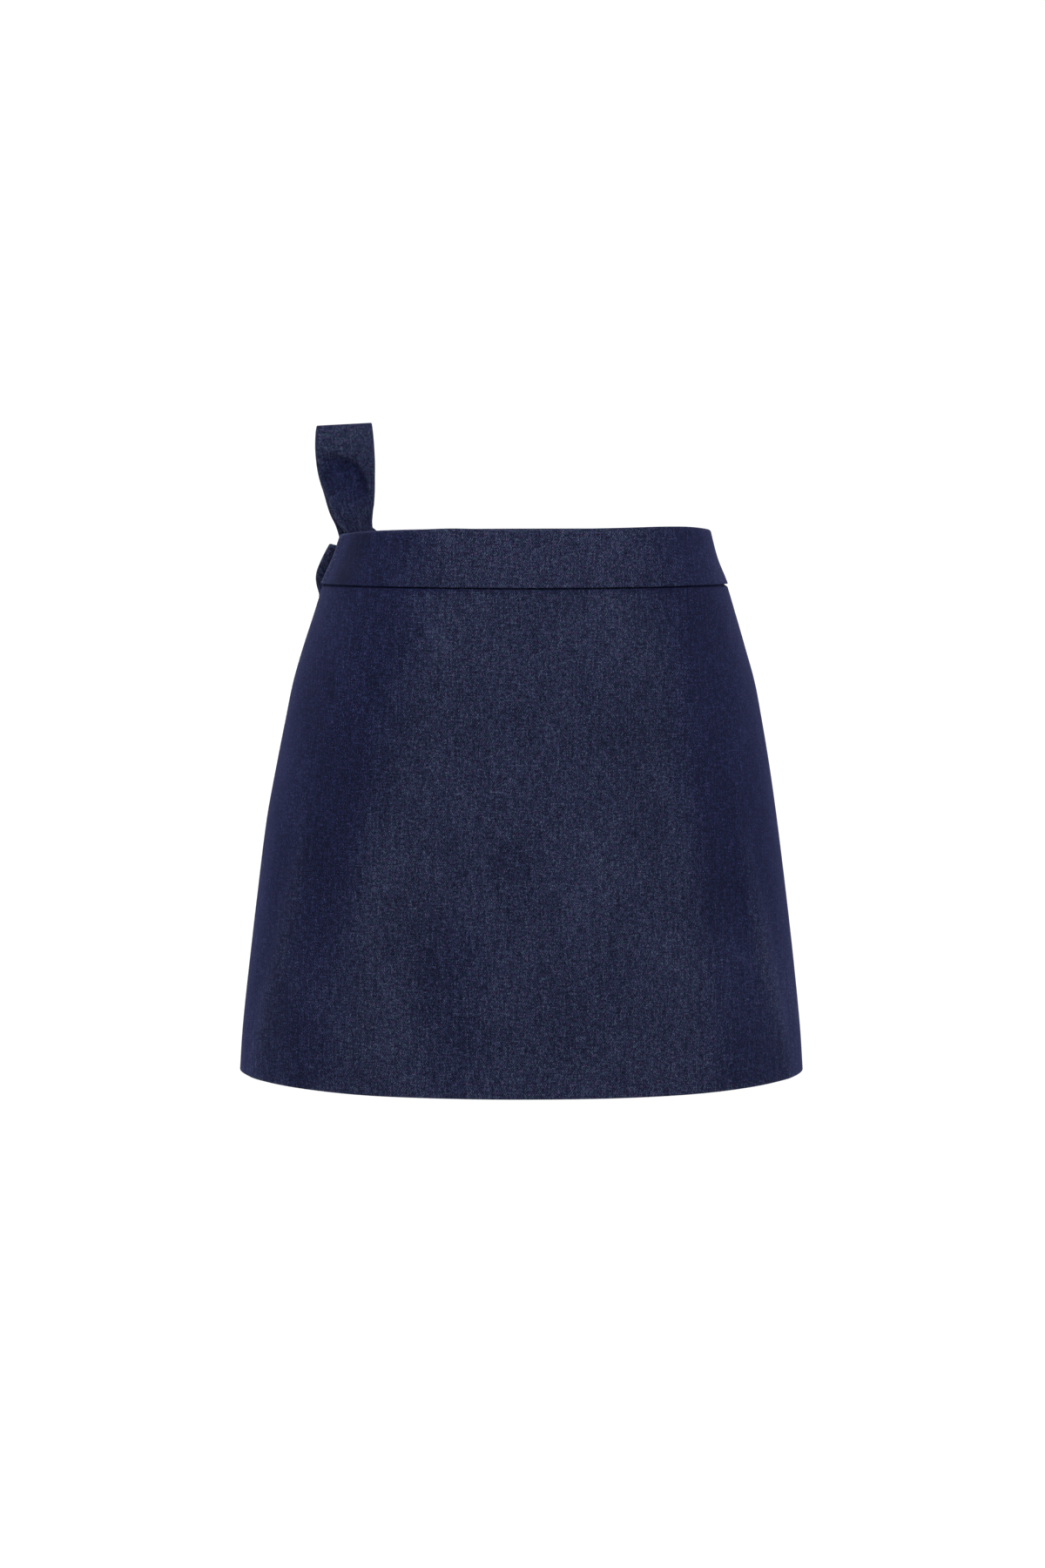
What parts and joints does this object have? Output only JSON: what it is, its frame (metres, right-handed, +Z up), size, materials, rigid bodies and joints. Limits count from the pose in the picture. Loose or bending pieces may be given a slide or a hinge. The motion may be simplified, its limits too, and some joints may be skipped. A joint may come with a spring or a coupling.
{
  "type": "wrap skirt",
  "caption": "Short A-line denim wrap skirt in its worn, hollow form, with a plain waistband and a ribbon tie in a bow at the hip.",
  "frame": {"origin": "the middle of the waist opening, halfway up the waistband, where a wearer holds the skirt up", "axes": "+Z up, from the hem to the waist; +Y towards the wearer's front; -Y towards the back; -X towards the wearer's left, where the bow is"},
  "size_m": [0.39, 0.2463, 0.4505],
  "materials": {
    "skirt_denim": "dark indigo twill, soft sheen",
    "waistband_denim": "dark indigo twill, folded and pressed",
    "tie_denim": "dark indigo twill ribbon"
  },
  "bodies": {
    "root": {"back_panel": "skirt_denim", "overlap_front_panel": "skirt_denim", "underlap_front_panel": "skirt_denim", "waistband_back": "waistband_denim", "waistband_overlap": "waistband_denim", "waistband_underlap": "waistband_denim", "tie_knot": "tie_denim", "tie_upper_loop": "tie_denim", "tie_lower_loop": "tie_denim", "tie_side_stretch": "tie_denim", "tie_front_stretch": "tie_denim", "tie_side_end": "tie_denim", "tie_front_end": "tie_denim"}
  },
  "joints": []
}
